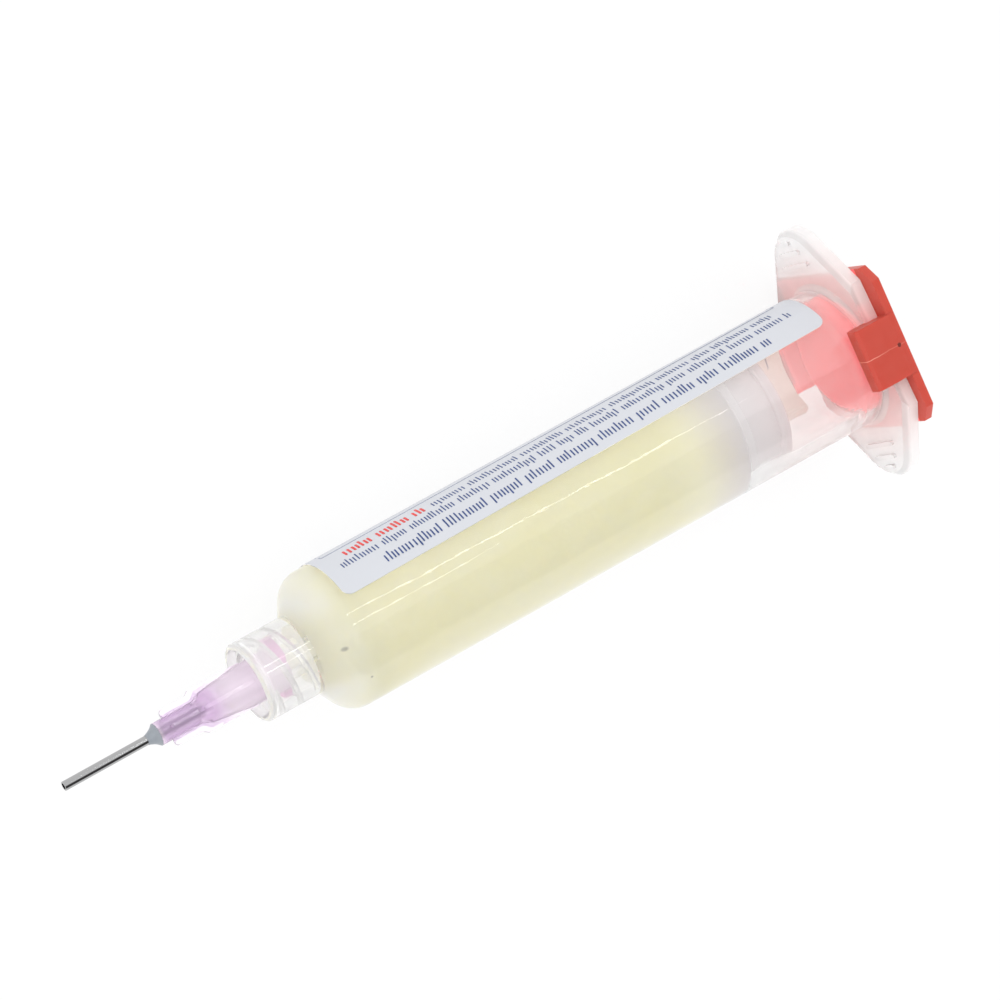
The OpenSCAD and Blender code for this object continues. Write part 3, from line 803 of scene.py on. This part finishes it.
def make_strip_lamp(index, stage, rows, place):
    """A long thin lamp between the places that mirror the two ends of its highlight."""
    ends = [
        mirrored_place(stage, rows, place, stage.highlight_start, stage.turns_at_start[index]),
        mirrored_place(stage, rows, place, stage.highlight_ends[index], stage.turns_at_end[index])]
    (near_point, near), (far_point, far) = ends
    middle = (near + far) / 2
    name = f"strip_lamp_{index + 1}"
    data = bpy.data.lights.new(name, "AREA")
    data.shape = "RECTANGLE"
    data.size, data.size_y = float(np.linalg.norm(far - near)), stage.lamp_width
    data.energy = stage.lamp_radiance * math.pi * data.size * data.size_y
    lamp = bpy.data.objects.new(name, data)
    back = (middle - (near_point + far_point) / 2) @ AXES
    back /= np.linalg.norm(back)
    x_axis = (far - near) @ AXES
    x_axis -= (x_axis @ back) * back
    x_axis /= np.linalg.norm(x_axis)
    matrix = np.eye(4)
    matrix[:3, :3] = np.stack([x_axis, np.cross(back, x_axis), back], 1)
    matrix[:3, 3] = laid(middle)
    lamp.matrix_world = Matrix(matrix)
    bpy.context.scene.collection.objects.link(lamp)


def seen_share(f):
    """1 for rays from the camera, a mirror or clear plastic, 0 for the light that falls on things.
    With it comes 1 for a mirror's rays alone."""
    path = f.add("ShaderNodeLightPath")
    camera = f.part(path, "Is Camera Ray")
    glossy = f.part(path, "Is Glossy Ray")
    clear = f.part(path, "Is Transmission Ray")
    return camera.math("MAXIMUM", clear).math("MAXIMUM", glossy), glossy


def make_world(stage):
    """A white studio. What falls on things is a little weaker from the sides and stronger from the
    needle's side. Mirrors see a dark band on one side, like a dark card that a photographer holds
    there."""
    world = bpy.data.worlds.new("studio")
    world.use_nodes = True
    bpy.context.scene.world = world
    f = Finish(world.node_tree)
    seen, glossy = seen_share(f)
    x, y, height = f.split(f.add("ShaderNodeTexCoord"))
    from_above = f.span(height, -0.1, 0.7, 0.95, 1.22)
    from_needle = f.span(x, 0.0, -0.8, 0.0, 0.4)
    glow = from_above + from_needle
    band = f.span(height, 0.3, 0.45) * f.span(height, stage.card_height, 1.0, 1.0, 0.0)
    one_side = f.span(y, -0.12, -0.02, 1.0, 0.0)
    card = band * one_side * glossy * stage.card
    level = seen + (1 - seen) * glow - card
    back = f.add("ShaderNodeBackground", None, {"Color": (1, 1, 1, 1), "Strength": level})
    f.add("ShaderNodeOutputWorld", None, {"Surface": back})


def make_floor(stage):
    material, f = new_finish("floor")
    seen, _ = seen_share(f)
    paper = f.add("ShaderNodeBsdfDiffuse", None, {"Color": (0.93, 0.93, 0.93, 1)})
    white = f.add("ShaderNodeEmission", None, {"Color": (1, 1, 1, 1), "Strength": 1.0})
    share = seen * (1 - stage.shadow)
    f.surface(f.add("ShaderNodeMixShader", None, [share, paper, white]))
    segments = 64
    angle = np.linspace(0, 2 * np.pi, segments, endpoint=False)
    points = np.stack([
        stage.floor_size * np.cos(angle), stage.floor_size * np.sin(angle),
        np.full(segments, CAD_LOW.z)], -1)
    mesh = bpy.data.meshes.new("floor")
    mesh.from_pydata(points, [], [list(range(segments))])
    mesh.materials.append(material)
    floor = bpy.data.objects.new("floor", mesh)
    bpy.context.scene.collection.objects.link(floor)


# Fine forms

def flux_column(sizes, material):
    """The paste between the end wall and the piston, with its stub in the channel. Its straight
    wall has rings at its two ends alone."""
    x, radius, _ = own_points("flux")
    wide = radius > radius.max() / 3
    front = wide & (x < x[wide].min() + sizes.flux_front)
    x = np.where(front, x - sizes.flux_wet, x)
    radius = np.where(wide, radius + sizes.flux_wet, radius)
    wall = radius.max()
    front_wall = x[radius > wall - NEAR].min()
    back_wall = x[radius > wall - NEAR].max()
    stub = x.min()
    stub_radius = radius[x < stub + NEAR].max()
    face = x[radius > 2 * stub_radius].min()
    face_radius = radius[np.abs(x - face) < NEAR].max()
    nose = x[x > front_wall + MM].min()
    nose_radius = radius[np.abs(x - nose) < NEAR].max()
    seat_radius = radius[(x > back_wall - NEAR) & (radius < wall - MM / 10)].max()
    centre = (front_wall, wall - sizes.flux_round)
    ring = np.where(wide & (x > face + NEAR), x, np.inf).argmin()
    slope = math.atan2(radius[ring] - face_radius, x[ring] - face)
    corner = arc(centre, sizes.flux_round, math.pi / 2 + slope, math.pi / 2, steps=9)
    profile = np.array([
        (stub, 0), (stub, stub_radius), (face, stub_radius), (face, face_radius), *corner,
        (back_wall, wall), (back_wall, seat_radius), (nose, nose_radius), (nose, 0)])
    points, faces = turned_shell(profile, segments=96)
    piece = make_piece("flux_column", points, faces, material)
    rear = piece.data.attributes.new("rear", "FLOAT", "POINT")
    along = (points[:, 0] - front_wall) / (back_wall - front_wall)
    rear.data.foreach_set("value", np.clip(along, 0, 1))
    soften(piece)
    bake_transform(piece)
    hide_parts("flux")


def thread_ridges(sizes, material):
    """Two ridges inside the collar. Each is a trapezium of base, two flanks and crest carried along
    a helix, x = start + lead * angle / 2 pi, and its height fades in and out at its ends."""
    barrel_x, barrel_r, _ = own_points("barrel")
    hub_x, hub_r, hub_angle = own_points("needle_hub")
    inside = (barrel_x > 0) & (barrel_x < sizes.thread_end + MM)
    bore = barrel_r[inside & (barrel_r > sizes.thread_crest)].min()
    lug = hub_r > hub_r.max() - NEAR
    lug_x = (hub_x[lug].min() + hub_x[lug].max()) / 2
    lug_angles = hub_angle[lug]
    first = lug_angles[lug_angles > 0]
    lug_angle = -(first.min() + first.max()) / 2
    turn_length = THREAD_LEAD / (2 * np.pi)
    steps, fade_steps, least_rise = 160, 10, 0.02
    x = np.linspace(sizes.thread_start, sizes.thread_end, steps)
    from_end = np.minimum(np.arange(steps), np.arange(steps)[::-1])
    rise = np.clip(from_end / fade_steps, least_rise, 1)
    base = np.full(steps, bore + sizes.thread_sunk)
    crest = bore - (bore - sizes.thread_crest) * rise
    radius = np.stack([base, crest, crest, base], -1)
    base_side, crest_side = sizes.thread_base_width / 2, sizes.thread_crest_width / 2
    offset = np.array([-base_side, -crest_side, crest_side, base_side])
    first_turn = lug_angle + (x - lug_x - THREAD_LEAD / 4) / turn_length
    turn = first_turn + np.array([[0], [np.pi]])
    points = around(x[:, None] + offset, radius, -turn[..., None]).reshape(-1, 3)
    piece = make_piece("lock_thread", points, [bar_faces(steps, 2)], material)
    soften(piece)
    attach(piece, "barrel")


def label_surface():
    """Two rows of x, the label's outside radius there and the angle of its lower edge, near its
    front end and near its back end."""
    x, radius, angle = own_points("label")
    rows = []
    for end in (x.min(), x.max()):
        near = np.abs(x - end) < 2 * MM
        edge = np.flatnonzero(near)[(angle[near] % (2 * np.pi)).argmin()]
        outside = radius[np.abs(x - end) < MM / 10].max()
        rows.append((x[edge], outside, angle[edge] % (2 * np.pi)))
    return rows


def print_marks(name, marks, sizes, material):
    """Thin raised marks on the label. A mark is (x, arc, width, height), with its middle at x and
    at a length of arc from the label's lower edge. Its half width at a height t from -1 to 1 is
    that of a bar with round ends, but at least least_share of its width. It bends with the label."""
    (front, front_r, front_angle), (back, back_r, back_angle) = label_surface()
    levels = np.array([-1, -0.94, -0.8, -0.5, 0, 0.5, 0.8, 0.94, 1])
    least_share = 0.08
    x, arc_length, width, height = np.array(marks).T
    round_r = np.minimum(width, height) / 2
    along = levels[None] * height[:, None] / 2
    over = np.clip(np.abs(along) - (height / 2 - round_r)[:, None], 0, None)
    half = width[:, None] / 2 - round_r[:, None] + np.sqrt(
        np.clip(round_r[:, None] ** 2 - over ** 2, 0, None))
    half = np.maximum(half, least_share * width[:, None])
    rim = np.array([-1, 1, 1, -1])
    lift = np.array([1.0, 1.0, 0.15, 0.15]) * sizes.ink
    at = x[:, None, None] + half[..., None] * rim
    share = (at - front) / (back - front)
    base = front_r + (back_r - front_r) * share
    low_angle = front_angle + (back_angle - front_angle) * share
    angle = low_angle + (arc_length[:, None] + along)[..., None] / base
    points = around(at, base + lift, angle).reshape(-1, 3)
    piece = make_piece(name, points, [bar_faces(len(levels), len(marks))], material, smooth=False)
    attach(piece, "barrel")


def row_of_strokes(random, row, sizes):
    """Upright strokes in runs of four to sixteen with gaps between them, like a line of print.
    One stroke in four is taller, and one in twelve reaches lower."""
    fewest, most, run_gap, uneven = 4, 16, 1.1, 0.15
    tall_rise, low_reach = 0.4, 0.35
    x, x_to, arc_middle, height, weight = row
    plain, pitch = sizes.stroke_height * height, sizes.stroke_pitch * height
    marks = []
    while x < x_to:
        for _ in range(random.integers(fewest, most + 1)):
            if x > x_to:
                break
            kind = random.random()
            rise = tall_rise if kind < 0.25 else 0.0
            reach = low_reach if kind > 0.92 else 0.0
            middle = arc_middle + plain * (rise - reach) / 2
            marks.append((x, middle, sizes.stroke_width * weight, plain * (1 + rise + reach)))
            x += pitch * random.uniform(1 - uneven, 1 + uneven)
        x += pitch * run_gap
    return marks


def frame_rules(sizes, front, back, low, high):
    """Four thin bars round a field of the label, between two places along it and two arcs."""
    middle_x, middle_arc = (front + back) / 2, (low + high) / 2
    width = sizes.rule_width
    return [(middle_x, low, back - front, width), (middle_x, high, back - front, width),
            (front, middle_arc, width, high - low), (back, middle_arc, width, high - low)]


# Operators

class SyringeOperator:
    """Runs a class's own build with the scene's settings."""
    bl_options = {"REGISTER", "UNDO"}

    def execute(self, context):
        scene = context.scene
        self.build(scene.syringe_sizes, scene.syringe_colours, scene.syringe_stage)
        return {"FINISHED"}


class SYRINGE_OT_stage(SyringeOperator, bpy.types.Operator):
    """Make the camera, the strip lamps, the studio and the floor"""
    bl_idname = "syringe.stage"
    bl_label = "Stage"

    def build(self, sizes, colours, stage):
        rows, place = make_camera(stage)
        for index in (0, 1):
            make_strip_lamp(index, stage, rows, place)
        make_world(stage)
        make_floor(stage)
        bpy.context.scene.view_settings.view_transform = "Standard"


class SYRINGE_OT_barrel(SyringeOperator, bpy.types.Operator):
    """Finish the barrel in clear plastic and add the thread inside its lock collar"""
    bl_idname = "syringe.barrel"
    bl_label = "Barrel and thread"

    def build(self, sizes, colours, stage):
        clear = barrel_material(colours)
        dress("barrel", clear)
        thread_ridges(sizes, clear)


class SYRINGE_OT_flux(SyringeOperator, bpy.types.Operator):
    """Make the column of flux"""
    bl_idname = "syringe.flux"
    bl_label = "Flux"

    def build(self, sizes, colours, stage):
        flux_column(sizes, flux_material(colours, sizes))


class SYRINGE_OT_piston(SyringeOperator, bpy.types.Operator):
    """Finish the wiper piston in milky plastic"""
    bl_idname = "syringe.piston"
    bl_label = "Piston"

    def build(self, sizes, colours, stage):
        dress("wiper_piston", piston_material(colours))


class SYRINGE_OT_cap(SyringeOperator, bpy.types.Operator):
    """Finish the end cap, with its moulding lines and gate"""
    bl_idname = "syringe.cap"
    bl_label = "End cap"

    def build(self, sizes, colours, stage):
        dress("end_cap", cap_material(colours, sizes))


class SYRINGE_OT_label(SyringeOperator, bpy.types.Operator):
    """Finish the label in coated paper and print plain strokes and a frame on it"""
    bl_idname = "syringe.label"
    bl_label = "Label and print"

    def build(self, sizes, colours, stage):
        dress("label", paper_material(colours))
        random = np.random.default_rng(sizes.print_seed)
        blue = ink_material("blue_ink", colours.blue_ink)
        red = ink_material("red_ink", colours.red_ink)
        marks = [mark for row in BLUE_ROWS for mark in row_of_strokes(random, row, sizes)]
        marks += frame_rules(sizes, *PRINT_FRAME)
        print_marks("print_blue", marks, sizes, blue)
        print_marks("print_red", row_of_strokes(random, RED_ROW, sizes), sizes, red)


class SYRINGE_OT_needle(SyringeOperator, bpy.types.Operator):
    """Finish the needle's hub, tube and adhesive"""
    bl_idname = "syringe.needle"
    bl_label = "Needle"

    def build(self, sizes, colours, stage):
        dress("needle_hub", hub_material(colours, sizes))
        dress("needle_tube", steel_material(colours))
        dress("needle_adhesive", adhesive_material(colours))


OPERATORS = (
    SYRINGE_OT_stage, SYRINGE_OT_barrel, SYRINGE_OT_flux, SYRINGE_OT_piston, SYRINGE_OT_cap,
    SYRINGE_OT_label, SYRINGE_OT_needle)


class SYRINGE_PT_panel(bpy.types.Panel):
    """Lists the syringe's pieces, sizes and colours"""
    bl_label = "Flux Syringe"
    bl_idname = "SYRINGE_PT_panel"
    bl_space_type = "VIEW_3D"
    bl_region_type = "UI"
    bl_category = "Flux Syringe"

    def draw(self, context):
        for operator in OPERATORS:
            self.layout.operator(operator.bl_idname)
        for group in ("syringe_sizes", "syringe_colours", "syringe_stage"):
            settings = getattr(context.scene, group)
            box = self.layout.box()
            for name in settings.bl_rna.properties.keys():
                if name not in ("rna_type", "name"):
                    box.prop(settings, name)


GROUPS = {
    "syringe_sizes": SyringeSizes, "syringe_colours": SyringeColours,
    "syringe_stage": SyringeStage}


def register():
    for name, group in GROUPS.items():
        bpy.utils.register_class(group)
        setattr(bpy.types.Scene, name, PointerProperty(type=group))
    for kind in (*OPERATORS, SYRINGE_PT_panel):
        bpy.utils.register_class(kind)


def unregister():
    for kind in (SYRINGE_PT_panel, *reversed(OPERATORS)):
        bpy.utils.unregister_class(kind)
    for name, group in GROUPS.items():
        delattr(bpy.types.Scene, name)
        bpy.utils.unregister_class(group)


def main():
    """Build every piece in order."""
    register()
    for operator in OPERATORS:
        getattr(bpy.ops.syringe, operator.bl_idname.split(".")[1])()


if __name__ == "__main__":
    main()
